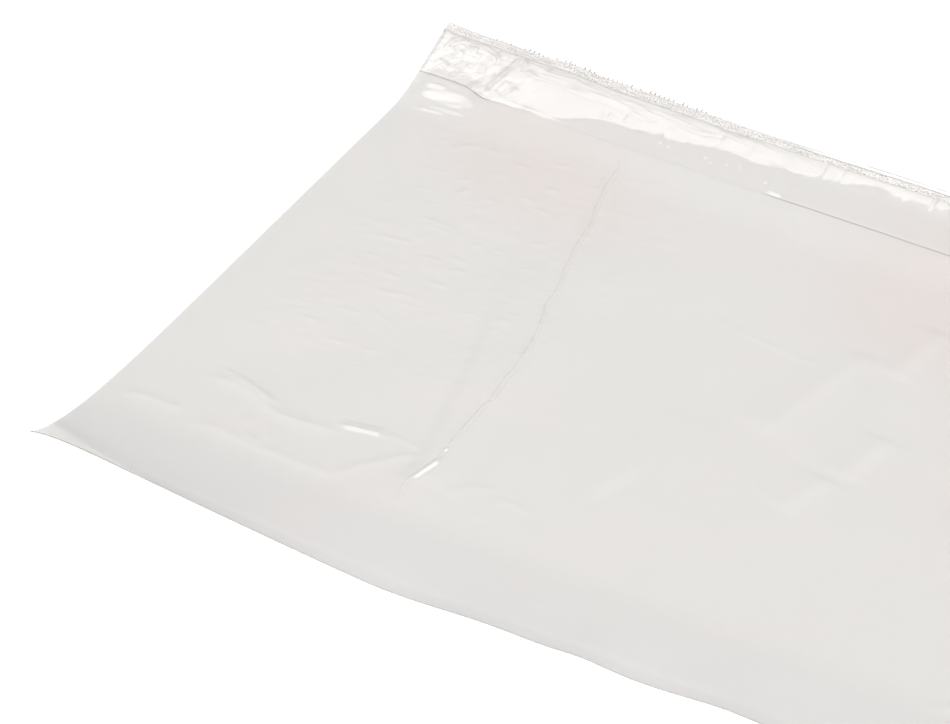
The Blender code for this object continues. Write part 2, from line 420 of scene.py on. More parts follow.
# Short strokes in the rippled part, between two or three points.
STROKES = [
    [(25.8, 118.1), (30.5, 118.7), (36.2, 118.4)], [(27.9, 116.6), (32.7, 117.2), (36.4, 116.0)],
    [(19.9, 107.5), (26.3, 108.7), (30.8, 109.6)], [(41.7, 115.7), (44.5, 115.7)],
    [(18.3, 157.2), (23.6, 157.5)], [(20.5, 156.1), (24.8, 156.6)], [(22.2, 95.9), (26.2, 95.5)],
    [(20.2, 89.3), (23.5, 91.6)], [(23.0, 82.6), (27.0, 82.9)],
    [(31.6, 90.0), (35.5, 91.0), (40.8, 92.7)], [(28.5, 80.7), (34.2, 81.5)],
    [(35.0, 83.9), (43.0, 81.0)], [(31.3, 70.4), (34.3, 70.3), (37.6, 70.8)],
    [(40.8, 70.4), (44.0, 71.8)], [(52.0, 84.3), (55.4, 84.1)], [(51.9, 92.2), (56.5, 93.4)],
    [(60.8, 91.9), (62.9, 95.9)], [(63.7, 87.8), (66.2, 90.6)], [(62.2, 95.0), (63.4, 89.4)],
    [(33.0, 105.9), (39.8, 107.0)], [(39.2, 109.4), (45.9, 108.6)], [(42.2, 105.4), (46.4, 105.3)],
    [(46.8, 116.7), (49.8, 116.2)], [(55.0, 112.8), (59.3, 114.1)], [(52.4, 122.3), (56.2, 123.6)],
    [(41.7, 136.7), (46.0, 135.5)], [(46.6, 133.8), (50.7, 134.0)], [(51.3, 136.5), (53.0, 139.4)],
    [(35.0, 131.4), (38.3, 131.4)], [(28.7, 129.4), (31.6, 132.9)],
    [(19.3, 143.3), (21.7, 147.0), (25.6, 148.8)], [(27.0, 148.2), (30.0, 148.1)],
    [(27.2, 134.4), (29.5, 136.3)], [(35.3, 127.1), (38.2, 128.2)], [(40.0, 89.2), (44.4, 89.6)],
    [(40.5, 98.9), (45.4, 99.0)], [(30.6, 96.5), (35.2, 96.9)], [(44.6, 141.3), (49.1, 142.2)],
    [(41.9, 150.6), (46.9, 151.4)], [(34.2, 146.2), (39.0, 146.3)], [(59.0, 130.1), (63.2, 131.0)],
    [(23.8, 74.1), (27.9, 74.3)], [(18.5, 78.8), (22.3, 78.2)],
]  # fmt: skip
FACE_PIMPLES = [(74.6, 69.0, 0.14), (44.0, 115.7, 0.10)]


def strokes(u, v, long, short, angle, seed):
    """Thin broken lines, from 0 to 1."""
    line = grain(u, v, long, short, angle, seed)
    there = ease(1.6 * grain(u, v, long * 0.8, short * 3.0, angle, seed + 1) + 0.1)
    return np.exp(-((line / 0.16) ** 2)) * there


def face_relief(u, v):
    """Height of the face film over its resting place, in metres."""
    d = (u - crease_at(v)) * 0.97
    along = ease((v - 27 * MM) / (5 * MM)) * ease((161 * MM - v) / (4 * MM))
    part = 0.45 + 0.55 * np.abs(smooth_noise(v / (3.6 * MM), v * 0 + 0.3, 12))
    crest = np.where(d > 0, np.exp(-np.abs(d) / (0.26 * MM)), np.exp(-np.abs(d) / (0.75 * MM)))
    crest = crest + 0.35 * np.exp(-(((d - 1.0 * MM) / (0.32 * MM)) ** 2))
    h = 0.36 * MM * part * along * crest * (1 - 0.85 * window(v, 32.5, 49.4, 2.4)) * (1 - 0.9 * window(v, 66.2, 68.5, 1.0))
    # the broad swell that carries it, with a steeper flank on its left
    back_off = (1.2 * MM + 0.17 * np.clip(v - 30 * MM, 0.0, 60 * MM))
    flank = ease((d + back_off) / (4.2 * MM) + 0.5)
    swell = np.where(d > 0, np.exp(-((d / (5.0 * MM)) ** 2)), flank)
    h = h + 0.55 * MM * swell * ease((v - 26 * MM) / (14 * MM)) * ease((128 * MM - v) / (50 * MM))

    # ripples, over the left of the sheet
    field = ease((90 * MM - u) / (20 * MM)) * ease((v - 52 * MM) / (22 * MM))
    field = field * ease((u - 4 * MM) / (16 * MM)) * ease((162 * MM - v) / (8 * MM))
    fine = strokes(u, v, 4.6 * MM, 3.8 * MM, math.radians(6), 21)
    fine = fine + strokes(u, v, 3.4 * MM, 3.2 * MM, math.radians(18), 24)
    r = 1 + grain(u, v, 9 * MM, 3.0 * MM, math.radians(2), 23)
    h = h + field * (0.082 * MM * fine + 0.034 * MM * r)
    for points in STROKES:
        h = h + fold(u, v, points, 0.19, 0.6, 0.5, 0.3)

    # weaker ripples and slow waves everywhere
    h = h + 0.015 * MM * strokes(u, v, 9 * MM, 4.5 * MM, math.radians(24), 31)
    h = h + 0.14 * MM * (1 + grain(u, v, 46 * MM, 17 * MM, math.radians(58), 33))
    h = h + 0.06 * MM * (1 + grain(u, v, 20 * MM, 14 * MM, math.radians(20), 34))
    for points, high, one, two in FACE_FOLDS:
        h = h + 1.15 * fold(u, v, points, high, one, two)
    for a, b, high in FACE_PIMPLES:
        h = h + high * MM * np.exp(-(((u - a * MM) / (0.45 * MM)) ** 2) - (((v - b * MM) / (0.45 * MM)) ** 2))
    h = h * border_fade(u, v, 6.0) * (0.06 + 0.94 * ease((FACE_END - 8 * MM - v) / (10 * MM)))

    # the bulge just below the mouth, near the left end, and streaks under it
    low = (157.2 + 1.6 * ease((u / MM - 5.0) / 8.0)) * MM
    x = np.clip(v - low, 0.0, 4.4 * MM)
    rise = 0.23 * x - 14.0 * x * x
    top = (162.6 + 0.8 * smooth_noise(u / (1.7 * MM), u * 0 + 8.2, 36)) * MM
    fall = ease((top - v) / (1.3 * MM))
    h = h + rise * fall * window(u, 3.0, 14.2, 1.2)
    for points, high, one, two in FACE_ROOFS:
        h = h + roof(u, v, points, high, one, two)
    h = h + fold(u, v, [(1.8, 157.6), (4.5, 157.2), (8.5, 156.0)], 0.10, 0.3, 0.3)
    return np.maximum(h, 0.0)


def mouth_gap(u):
    """Where the mouth's edge stands off the face film: at the left, and on the
    right of the middle."""
    return 0.45 * ease((u - 86 * MM) / (6 * MM)) + ease((20 * MM - u) / (4 * MM))


def face_height(u, v):
    free = FACE_LOW + face_relief(u, v)
    # under the lip's edge it lies against the lip
    edge = HEIGHT - LIP_WIDTH + mouth_edge(u, HEIGHT - LIP_WIDTH)
    under = lip_low(u, np.maximum(v, edge)) - FILM - (0.004 + 0.11 * mouth_gap(u)) * MM
    share = ease((v - edge + 9 * MM) / (9 * MM)) * (1 - ease((v - edge - 1 * MM) / (3 * MM)))
    return np.maximum(free, free + share * (under - free))


# -------------------------------------------------------------------- lip film
TEETH = 860
TOOTH = WIDTH / TEETH
WELD_ROW = 0.25 * MM


def tooth_wave(u):
    """Zigzag between -1 and 1, on the columns of the lip's mesh."""
    k = np.rint(u / TOOTH).astype(int)
    return np.where(k % 2 == 0, 1.0, -1.0)


def whiskers(u):
    """Where the cut edge has long fine teeth."""
    return ease((u - 9 * MM) / (6 * MM)) * ease((78 * MM - u) / (20 * MM))


def cut_edge(u, v):
    """How far the serrated cut goes back, or past, the top edge."""
    tooth = np.floor(np.rint(u / TOOTH) / 2.0).astype(int)
    own = np.random.RandomState(41).uniform(0.0, 1.0, TEETH)[tooth % TEETH]
    own = (0.35 + 0.65 * ease((own - 0.1) / 0.6)) * np.where(tooth % 2 == 0, 1.0, 0.28)
    crowd = 0.80 + 0.20 * smooth_noise(u / (3.5 * MM), u * 0 + 3.1, 44)
    long = 0.20 * MM + 1.35 * MM * whiskers(u) * own * crowd
    wander = 0.08 * MM * smooth_noise(u / (9 * MM), u * 0 + 9.1, 42)
    out = long * (0.5 - 0.5 * tooth_wave(u)) - 0.10 * MM + wander
    return out * ease((v - (HEIGHT - 1.3 * MM)) / (1.3 * MM))


def mouth_edge(u, v):
    share = np.clip((HEIGHT - 12 * MM - v) / (LIP_WIDTH - 12 * MM), 0.0, 1.0)
    step = LIP_NARROW * (1.0 - ease((u - 11 * MM) / (7 * MM)))
    wave = 0.15 * MM * smooth_noise(u / (7 * MM), u * 0 + 1.7, 43)
    wave = wave * (1 - 0.85 * ease((u - 60 * MM) / (20 * MM)))
    scallops = 0.25 * MM * np.abs(np.sin(u / (2.6 * MM))) * window(u, 20, 44, 4)
    return share * (step + wave + scallops)


def lip_shift(u, v):
    return mouth_edge(u, v) + cut_edge(u, v)


def in_weld(v):
    return ease((v - (HEIGHT - SEAL_WIDTH - 0.12 * MM)) / (0.24 * MM))


# Where the lip starts to stand up towards the weld: along the sheet, up the sheet.
STAND_U = [0, 26, 34, 39, 44.5, 54.3, 61.5, 68.5, 76.1, 79.9, 83.9, 85.6, 90.7, 93.7,
           97.8, 98.6, 99.4, 100.6, 101.3, 102.1, 104.9, 112.4, 117.0, 120.5, 124.2, 125.0,
           125.8, 133, 141, 150, 158, 170, 184, 197, 210, 224, 238, 254]  # fmt: skip
STAND_V = [162, 162, 163.0, 165.4, 167.1, 167.8, 168.4, 169.5, 170.4, 169.7, 169.4, 170.0, 170.5, 170.6,
           171.2, 170.8, 171.4, 171.7, 171.2, 171.9, 172.1, 173.2, 172.8, 173.4, 173.4, 172.2,
           173.4, 173.0, 171.8, 172.6, 171.0, 172.4, 170.6, 172.0, 171.2, 172.4, 170.8, 172.0]  # fmt: skip


def softly_above(v, start, soft):
    """v - start where v is beyond start, and 0 before, with a soft corner."""
    return soft * np.logaddexp(0.0, np.clip((v - start) / soft * 2.2, -40, 60)) / 2.2


def stand_up(u, v):
    """The lip film climbs to a low crest at the weld, and comes down across it."""
    start = np.interp(u / MM, STAND_U, STAND_V) * MM
    ragged = smooth_noise(u / (1.5 * MM), u * 0 + 2.6, 58) + 0.7 * smooth_noise(u / (3.7 * MM), u * 0 + 7.7, 59)
    start = start + 0.62 * MM * ragged * ease((u - 40 * MM) / (30 * MM))
    crest = HEIGHT - SEAL_WIDTH
    rise = np.minimum(softly_above(v, start, 0.6 * MM), softly_above(crest, start, 0.6 * MM))
    reach = math.radians(24.0) + math.radians(0.8) * ease((u - 26 * MM) / (10 * MM))
    reach = reach + math.radians(0.7) * ease((u - 84 * MM) / (8 * MM))
    reach = reach + math.radians(1.4) * smooth_noise(u / (9 * MM), u * 0 + 6.3, 57)
    steep = np.tan(reach - top_angle(u))
    down = np.clip((HEIGHT - v) / SEAL_WIDTH, 0.0, 1.0)
    return steep * rise * down * ease(u / (1.2 * MM)) * ease((WIDTH - u) / (1.2 * MM))


LIP_FOLDS = [
    # points, height, width to the left and to the right of the line, in mm
    ([(3.0, 169.6), (3.2, 172.6), (4.4, 174.2), (7.0, 174.9)], 0.10, 0.5, 0.7),
    ([(7.0, 174.9), (11.8, 174.6), (15.8, 173.2), (16.3, 171.6), (15.0, 171.2)], 0.11, 0.45, 0.7),
    ([(7.3, 173.9), (11.0, 172.7), (15.4, 171.2)], 0.06, 0.6, 0.4),
    ([(2.6, 167.5), (4.3, 167.5), (6.2, 166.6)], 0.09, 0.5, 0.5),
    ([(4.8, 172.4), (5.6, 170.2), (7.4, 168.2)], 0.08, 0.5, 0.6),
    ([(6.9, 172.0), (7.2, 170.2), (8.6, 169.0)], 0.06, 0.5, 0.5),
    ([(9.6, 167.9), (10.5, 169.1), (11.6, 169.2)], 0.07, 0.35, 0.5),
    ([(20.5, 174.9), (18.8, 169.6), (16.8, 163.9)], 0.26, 0.4, 0.6),
    ([(20.2, 168.3), (19.9, 166.5), (19.2, 164.9)], 0.07, 0.35, 0.4),
    ([(21.3, 168.6), (21.4, 166.5), (21.1, 164.4)], 0.07, 0.35, 0.4),
    ([(22.7, 168.0), (23.1, 166.1), (22.6, 164.0)], 0.06, 0.35, 0.4),
    ([(21.4, 174.9), (22.7, 173.4), (22.2, 171.5)], 0.10, 0.4, 0.6),
    ([(23.0, 171.9), (24.4, 172.2), (26.0, 171.4)], 0.07, 0.35, 0.5),
    ([(25.0, 174.0), (29.0, 173.2), (34.4, 173.7), (38.0, 174.1), (46.0, 173.7)], 0.055, 0.3, 0.3),
    ([(29.0, 172.3), (33.7, 172.5), (41.0, 172.5), (50.0, 173.0), (60.0, 173.5)], 0.045, 0.3, 0.3),
    ([(44.0, 174.0), (52.0, 173.4), (60.0, 174.2)], 0.035, 0.3, 0.3),
    ([(65.5, 174.7), (70.0, 174.5), (74.5, 173.9), (80.0, 173.2)], 0.055, 0.3, 0.3),
    ([(83.6, 174.9), (84.8, 174.4), (86.2, 173.4)], 0.05, 0.3, 0.4),
    ([(50.5, 169.0), (52.4, 169.1), (56.0, 168.9)], 0.05, 0.3, 0.3),
    ([(134.0, 174.6), (139.0, 173.6), (145.0, 172.8)], 0.09, 0.35, 0.6),
    ([(166.0, 174.7), (171.0, 174.0), (180.0, 173.2)], 0.10, 0.35, 0.6),
    ([(207.0, 172.0), (213.0, 173.4), (222.0, 174.2)], 0.09, 0.5, 0.4),
    ([(240.0, 174.4), (246.0, 170.0), (250.0, 165.6)], 0.12, 0.5, 0.8),
    ([(18.5, 163.9), (26.0, 163.4), (33.0, 163.3), (40.0, 163.2), (46.0, 163.1)], 0.05, 0.5, 0.3),
    ([(88.6, 163.3), (92.6, 163.2)], 0.06, 0.5, 0.3),
]
PIMPLES = [(44.2, 168.2), (46.3, 168.4), (50.1, 168.8), (60.1, 166.8), (62.3, 166.5),
           (71.4, 166.9), (73.1, 166.1), (76.7, 166.9), (80.0, 167.4), (87.2, 165.7),
           (152.0, 167.0), (163.5, 167.8), (191.0, 166.4), (218.0, 167.6)]  # fmt: skip


def lip_relief(u, v):
    """Crinkles of the lip film, in metres."""
    free = ease((HEIGHT - 0.6 * MM - v) / (2.4 * MM))
    left = ease((48 * MM - u) / (30 * MM))
    h = 0.04 * MM * (1 + grain(u, v, 7 * MM, 2.6 * MM, math.radians(-8), 51)) * (0.4 + 0.6 * left)
    h = h + 0.045 * MM * left * (1 + grain(u, v, 3.4 * MM, 2.0 * MM, math.radians(35), 52))
    h = h + 0.022 * MM * left * (1 + grain(u, v, 1.9 * MM, 1.3 * MM, math.radians(60), 53))
    seal = ease((v - 168 * MM) / (4 * MM)) * ease((140 * MM - u) / (20 * MM))
    h = h + 0.030 * MM * seal * (1 + grain(u, v, 5.5 * MM, 1.5 * MM, math.radians(-3), 55))
    h = h + 0.020 * MM * seal * (1 + grain(u, v, 1.4 * MM, 3.4 * MM, math.radians(0), 56))
    h = h + 0.05 * MM * (1 + grain(u, v, 24 * MM, 7 * MM, math.radians(3), 54))
    for points, high, one, two in LIP_FOLDS:
        h = h + (1 + 0.40 * left) * fold(u, v, points, high, one, two)
    h = h * free
    for a, b in PIMPLES:
        far = np.where(v > b * MM, 1.6 * MM, 0.44 * MM)
        h = h + 0.13 * MM * np.exp(-(((u - a * MM) / (0.55 * MM)) ** 2) - (((v - b * MM) / far) ** 2))
    h = h + roof(u, v, [(88.0, 163.9), (90.0, 163.8), (93.4, 163.7)], 0.15, 1.6, 1.0)
    return h + stand_up(u, v)


def knurled(u, v):
    """The part of the weld that the bars have pressed: all of it at the left,
    all but a plain margin further on."""
    end = HEIGHT - (0.9 * MM) * ease((u - 88 * MM) / (14 * MM))
    return in_weld(v) * ease((end - v) / (0.3 * MM) + 1.0)


def knurl(u, v):
    """Small pyramids pressed into the weld."""
    row = np.rint((v - (HEIGHT - SEAL_WIDTH)) / WELD_ROW).astype(int)
    sign = tooth_wave(u) * np.where(row % 2 == 0, 1.0, -1.0)
    rough = 0.6 + 0.4 * smooth_noise(u / (1.1 * MM), v / (0.8 * MM), 61)
    return 0.040 * MM * sign * rough * knurled(u, v)


def lip_base(u, v):
    down = ease((v - (HEIGHT - SEAL_WIDTH)) / (2.4 * MM))
    weld = BACK_LOW + FILM + 0.07 * MM
    lifted = LIP_LOW + 0.0 * v
    # it gives way to the bulge of the face film
    over = 0.30 * MM * window(u, 3.0, 15.0, 3.0) * ease((166 * MM - v) / (3 * MM))
    return lifted + over - (lifted - weld) * down


def lip_low(u, v):
    return lip_base(u, v) + lip_relief(u, v) + knurl(u, v)


def lip_high(u, v):
    edge = ease((HEIGHT - LIP_WIDTH + 0.8 * MM - v) / (0.4 * MM))
    taper = ease((HEIGHT - LIP_WIDTH + 3.2 * MM - v) / (2.8 * MM))
    thick = FILM * (1 - 0.85 * taper * (1 - np.minimum(mouth_gap(u), 1.0)))
    return lip_low(u, v) + thick + 0.10 * MM * edge * mouth_gap(u)


# ------------------------------------------------------------------- the webs
coarse_u = steps(0.0, (40.0, 1.6), (254.0, 2.14))
coarse_v = steps(0.0, (40.0, 1.6), (146.0, 2.4), (178.0, 1.4))


def even(value):
    return lambda u, v: np.full(np.shape(u), value)


liner = film_mesh("liner", coarse_u, coarse_v, even(0.0), even(LINER_TOP))


def back_relief(u, v):
    inner = border_fade(u, v, 5.0) * ease((HEIGHT - 6 * MM - v) / (8 * MM))
    return 0.02 * MM * inner * (1 + grain(u, v, 30 * MM, 12 * MM, 0.5, 71))


back = film_mesh(
    "back_panel",
    coarse_u,
    coarse_v,
    lambda u, v: BACK_LOW + back_relief(u, v),
    lambda u, v: BACK_LOW + FILM + back_relief(u, v),
)

face_u = even_gaps(
    steps(0.0, (67.0, 1.0), (69.2, 0.44), (72.8, 0.2), (75.0, 0.44), (100.0, 1.2), (254.0, 2.3))
)
face_v = even_gaps(
    steps(0.0, (34.0, 0.62), (42.6, 0.44), (49.2, 0.2), (66.4, 0.46), (68.4, 0.25), (151.0, 0.46), (162.6, 0.21), (170.5, 0.6))
)
face = film_mesh(
    "face_panel",
    face_u,
    face_v,
    face_height,
    lambda u, v: face_height(u, v) + FILM,
    coarse=2,
    columns=follow_crease,
    crease=crease_at,
)

lip_u = np.arange(TEETH + 1) * TOOTH
free_rows = steps(162.5, (170.5, 0.32), (175.0, 0.25))[:-1]
weld_rows = HEIGHT - SEAL_WIDTH + np.arange(13) * WELD_ROW
lip_v = np.concatenate([free_rows, weld_rows])
lip = film_mesh("lip_strip", lip_u, lip_v, lip_low, lip_high, shift=lip_shift, weld=43)

# ------------------------------------------------------------------- materials


class Look:
    """A material under construction, with short ways to add its nodes."""

    def __init__(self, name):
        self.mat = bpy.data.materials.new(name)
        self.mat.use_nodes = True
        self.nodes = self.mat.node_tree.nodes
        self.links = self.mat.node_tree.links
        self.shader = self.nodes["Principled BSDF"]
        sheet = self.nodes.new("ShaderNodeUVMap")
        sheet.uv_map = "sheet"
        self.place = sheet.outputs["UV"]
        parts = self.nodes.new("ShaderNodeSeparateXYZ")
        self.links.new(self.place, parts.inputs["Vector"])
        self.u, self.v = parts.outputs["X"], parts.outputs["Y"]

    def feed(self, socket, value):
        if isinstance(value, bpy.types.NodeSocket):
            self.links.new(value, socket)
        else:
            socket.default_value = value

    def math(self, kind, *values):
        n = self.nodes.new("ShaderNodeMath")
        n.operation = kind
        for socket, value in zip(n.inputs, values):
            self.feed(socket, value)
        return n.outputs["Value"]

    def spread(self, value, start, end, low=0.0, high=1.0, smooth=False):
        n = self.nodes.new("ShaderNodeMapRange")
        n.interpolation_type = "SMOOTHSTEP" if smooth else "LINEAR"
        self.links.new(value, n.inputs["Value"])
        n.inputs["From Min"].default_value = start
        n.inputs["From Max"].default_value = end
        n.inputs["To Min"].default_value = low
        n.inputs["To Max"].default_value = high
        return n.outputs["Result"]

    def moved(self, centre=(0.0, 0.0), angle=0.0, size=(1.0, 1.0)):
        """Sheet coordinates seen from a centre, turned, in units of size."""
        n = self.nodes.new("ShaderNodeMapping")
        n.vector_type = "TEXTURE"
        n.inputs["Location"].default_value = (*centre, 0.0)
        n.inputs["Rotation"].default_value = (0.0, 0.0, angle)
        n.inputs["Scale"].default_value = (*size, 1.0)
        self.links.new(self.place, n.inputs["Vector"])
        return n.outputs["Vector"]

    def noise(self, vector, scale=1.0, detail=1.0, rough=0.5):
        n = self.nodes.new("ShaderNodeTexNoise")
        n.inputs["Scale"].default_value = scale
        n.inputs["Detail"].default_value = detail
        n.inputs["Roughness"].default_value = rough
        self.links.new(vector, n.inputs["Vector"])
        return n.outputs["Fac"]

    def spot(self, centre, angle, size):
        """1 in the middle of an ellipse, falling softly to 0 at its edge."""
        n = self.nodes.new("ShaderNodeVectorMath")
        n.operation = "LENGTH"
        self.links.new(self.moved(centre, angle, size), n.inputs[0])
        return self.spread(n.outputs["Value"], 1.0, 0.15, 0.0, 1.0, True)

    def ramp(self, value, *stops):
        n = self.nodes.new("ShaderNodeValToRGB")
        ends = n.color_ramp.elements
        ends[0].position, ends[0].color = stops[0][0], (*stops[0][1], 1.0)
        ends[1].position, ends[1].color = stops[-1][0], (*stops[-1][1], 1.0)
        for place, colour in stops[1:-1]:
            ends.new(place).color = (*colour, 1.0)
        self.links.new(value, n.inputs["Fac"])
        return n.outputs["Color"]

    def mix(self, share, one, other, kind="MIX"):
        n = self.nodes.new("ShaderNodeMix")
        n.data_type = "RGBA"
        n.blend_type = kind
        self.feed(n.inputs[0], share)
        for socket, value in ((n.inputs[6], one), (n.inputs[7], other)):
            value = (*value, 1.0) if isinstance(value, tuple) else value
            self.feed(socket, value)
        return n.outputs[2]

    def finish(self, colour, rough, clear=1.0, level=0.5, bump=None):
        self.feed(self.shader.inputs["Base Color"], colour)
        self.feed(self.shader.inputs["Roughness"], rough)
        self.shader.inputs["Alpha"].default_value = clear
        self.shader.inputs["IOR"].default_value = 1.5
        self.shader.inputs["Specular IOR Level"].default_value = level
        if bump is not None:
            height, size = bump
            n = self.nodes.new("ShaderNodeBump")
            n.inputs["Distance"].default_value = size * MM
            self.links.new(height, n.inputs["Height"])
            self.links.new(n.outputs["Normal"], self.shader.inputs["Normal"])
        return self.mat


# face film: soft colour fields, a seam at the front, and painted light and shade: a darker front strip, the
# curled tip, streaks on the folds, a patch under the mouth and lines along the crease
look = Look("face_film_look")
cloud = look.noise(look.moved(angle=0.4, size=(0.045, 0.022)), 1.0, 2.0)
colour = look.ramp(cloud, (0.34, (0.802, 0.799, 0.790)), (0.66, (0.811, 0.792, 0.786)))
left_field = look.math("MULTIPLY", look.spot((0.041, 0.147), -0.39, (0.054, 0.031)), 0.82)
right_field = look.spot((0.142, 0.147), -0.50, (0.048, 0.038))
far_field = look.spot((0.205, 0.100), 0.30, (0.050, 0.036))
field = look.math("MAXIMUM", look.math("MAXIMUM", left_field, right_field), far_field)
colour = look.mix(look.math("MULTIPLY", field, 0.92), colour, (0.817, 0.750, 0.737))
# painted highlight: lighter, warmer streaks on the right part, along its broad folds
for centre, angle, half in (
    ((0.1338, 0.1060), 1.40, 0.024),
    ((0.1545, 0.0910), 1.44, 0.013),
    ((0.1494, 0.0733), 1.31, 0.011),
    ((0.1463, 0.1290), 1.50, 0.014),
    ((0.1120, 0.0560), 1.30, 0.012),
):
    painted_fold_highlight = look.spot(centre, angle, (half, 0.0034))
    colour = look.mix(look.math("MULTIPLY", painted_fold_highlight, 0.30), colour, (0.880, 0.868, 0.835))
# painted highlight: a light patch under the mouth at the left end
for centre, angle, size in (
    ((0.0105, 0.1592), 0.06, (0.0078, 0.0024)),
    ((0.0115, 0.1556), 0.10, (0.0060, 0.0008)),
):
    painted_highlight = look.spread(look.spot(centre, angle, size), 0.12, 0.36, 0.0, 0.60, True)
    colour = look.mix(painted_highlight, colour, (0.975, 0.965, 0.950))
# painted shade: darker, a little cool, towards the front edge
painted_front_shade = look.ramp(
    look.spread(look.v, 0.0, 0.040),
    (0.0, (0.912, 0.912, 0.922)),
    (0.016, (0.950, 0.954, 0.966)),
    (0.060, (0.953, 0.956, 0.967)),
    (0.090, (0.966, 0.969, 0.980)),
    (0.50, (0.958, 0.960, 0.966)),
    (0.68, (1.0, 1.0, 1.0)),
)
colour = look.mix(1.0, colour, painted_front_shade, "MULTIPLY")
ribs = look.spread(look.math("SINE", look.math("MULTIPLY", look.u, 2 * math.pi / 0.00059)), -1, 1, 0.955, 1.0)
ribs = look.math("MAXIMUM", ribs, look.spread(look.v, 0.0022, 0.0032, 0.94, 1.0))
colour = look.mix(1.0, colour, ribs, "MULTIPLY")
# painted shade on the curled front-left tip
painted_tip_shade = look.math("MULTIPLY", look.spot((0.0, 0.0), 0.0, (0.022, 0.014)), 0.62)
colour = look.mix(painted_tip_shade, colour, (0.60, 0.58, 0.56))
map_node = look.nodes.new("ShaderNodeUVMap")
map_node.uv_map = "crease"
sides = look.nodes.new("ShaderNodeSeparateXYZ")
look.links.new(map_node.outputs["UV"], sides.inputs["Vector"])
# painted shade: dark brown broken lines along the crease
broken = look.noise(look.moved(angle=0.7, size=(0.0016, 0.0007)), 1.0, 1.0)
dark = None
for middle, half, much in ((-0.00012, 0.00005, 0.26), (0.00072, 0.00004, 0.15)):
    off = look.math("ABSOLUTE", look.math("SUBTRACT", sides.outputs["X"], middle))
    line = look.spread(off, half, half + 0.00022, much, 0.0)
    dark = line if dark is None else look.math("MAXIMUM", dark, line)
dark = look.math("MULTIPLY", dark, look.spread(broken, 0.42, 0.58, 0.15, 1.0))
dark = look.math("MULTIPLY", dark, look.spread(look.v, 0.030, 0.036))
dark = look.math("MULTIPLY", dark, look.spread(look.v, 0.162, 0.150))
colour = look.mix(dark, colour, (0.50, 0.41, 0.37))
streaks = look.noise(look.moved(angle=0.14, size=(0.0042, 0.0011)), 1.0, 1.0)
face_look = look.finish(
    colour, look.spread(cloud, 0.3, 0.7, 0.12, 0.17), 0.64, 1.0, (streaks, 0.018)
)

# back film and liner, seen only through the films above, from below and at edges
look = Look("back_film_look")
cloud = look.noise(look.moved(angle=0.9, size=(0.030, 0.018)), 1.0, 2.0)
colour = look.ramp(cloud, (0.35, (0.800, 0.796, 0.787)), (0.65, (0.806, 0.792, 0.783)))
back_look = look.finish(colour, look.spread(cloud, 0.3, 0.7, 0.3, 0.45), 0.80, 0.5)

look = Look("liner_paper_look")
cloud = look.noise(look.moved(size=(0.020, 0.020)), 1.0, 2.0)
fibres = look.noise(look.moved(size=(0.0016, 0.0004)), 1.0, 2.0)
colour = look.ramp(cloud, (0.35, (0.780, 0.782, 0.765)), (0.65, (0.795, 0.790, 0.770)))
colour = look.mix(look.spread(fibres, 0.45, 0.75), colour, (0.68, 0.675, 0.665))
liner_look = look.finish(
    colour, look.spread(fibres, 0.3, 0.7, 0.42, 0.6), 1.0, 0.4, (fibres, 0.02)
)

# lip film: its left end has painted highlights and painted shade
look = Look("lip_film_look")
cloud = look.noise(look.moved(angle=0.1, size=(0.020, 0.006)), 1.0, 1.0)
colour = look.ramp(cloud, (0.35, (0.812, 0.798, 0.780)), (0.65, (0.812, 0.787, 0.783)))
pink = look.math("MULTIPLY", look.spot((0.146, 0.167), 0.0, (0.044, 0.012)), 0.6)
colour = look.mix(pink, colour, (0.822, 0.770, 0.762))
fine = look.noise(look.moved(angle=-0.1, size=(0.0030, 0.0012)), 1.0, 1.0)
curls = look.noise(look.moved(angle=0.5, size=(0.0046, 0.0030)), 1.0, 1.0)
curls = look.math("ABSOLUTE", look.math("SUBTRACT", curls, 0.5))
curls = look.math("MULTIPLY", look.spread(curls, 0.0, 0.035, 1.0, 0.0, True), look.spread(look.u, 0.028, 0.016))
patches = look.noise(look.moved(angle=0.75, size=(0.0056, 0.0024)), 1.0, 1.0)
at_left = look.spread(look.u, 0.032, 0.018)
# painted highlight: the left end of the lip is lighter
colour = look.mix(look.math("MULTIPLY", at_left, 0.55), colour, (0.92, 0.905, 0.885))
# painted shade: grey patches where the crinkled film at the left misses the light
painted_shade_patches = look.math("MULTIPLY", look.spread(patches, 0.505, 0.55, 0.0, 0.48, True), at_left)
colour = look.mix(painted_shade_patches, colour, (0.66, 0.645, 0.64))
# painted highlight: light lines along the curls at the left
colour = look.mix(look.math("MULTIPLY", curls, 0.55), colour, (0.97, 0.96, 0.945))
rows = look.noise(look.moved(angle=-0.03, size=(0.0150, 0.0017)), 1.0, 1.0)
rows = look.math("ABSOLUTE", look.math("SUBTRACT", rows, 0.5))
rows = look.math("MULTIPLY", look.spread(rows, 0.0, 0.030, 1.0, 0.0, True), look.spread(look.v, 0.1690, 0.1715))
rows = look.math("MULTIPLY", rows, look.spread(look.u, 0.110, 0.070))
relief = look.math("ADD", look.math("MULTIPLY", fine, 0.02), look.math("MULTIPLY", curls, 0.044))
relief = look.math("ADD", relief, look.math("MULTIPLY", rows, 0.034))
lip_look = look.finish(
    colour, look.spread(cloud, 0.3, 0.7, 0.05, 0.09), 0.64, 1.0, (relief, 1.0)
)
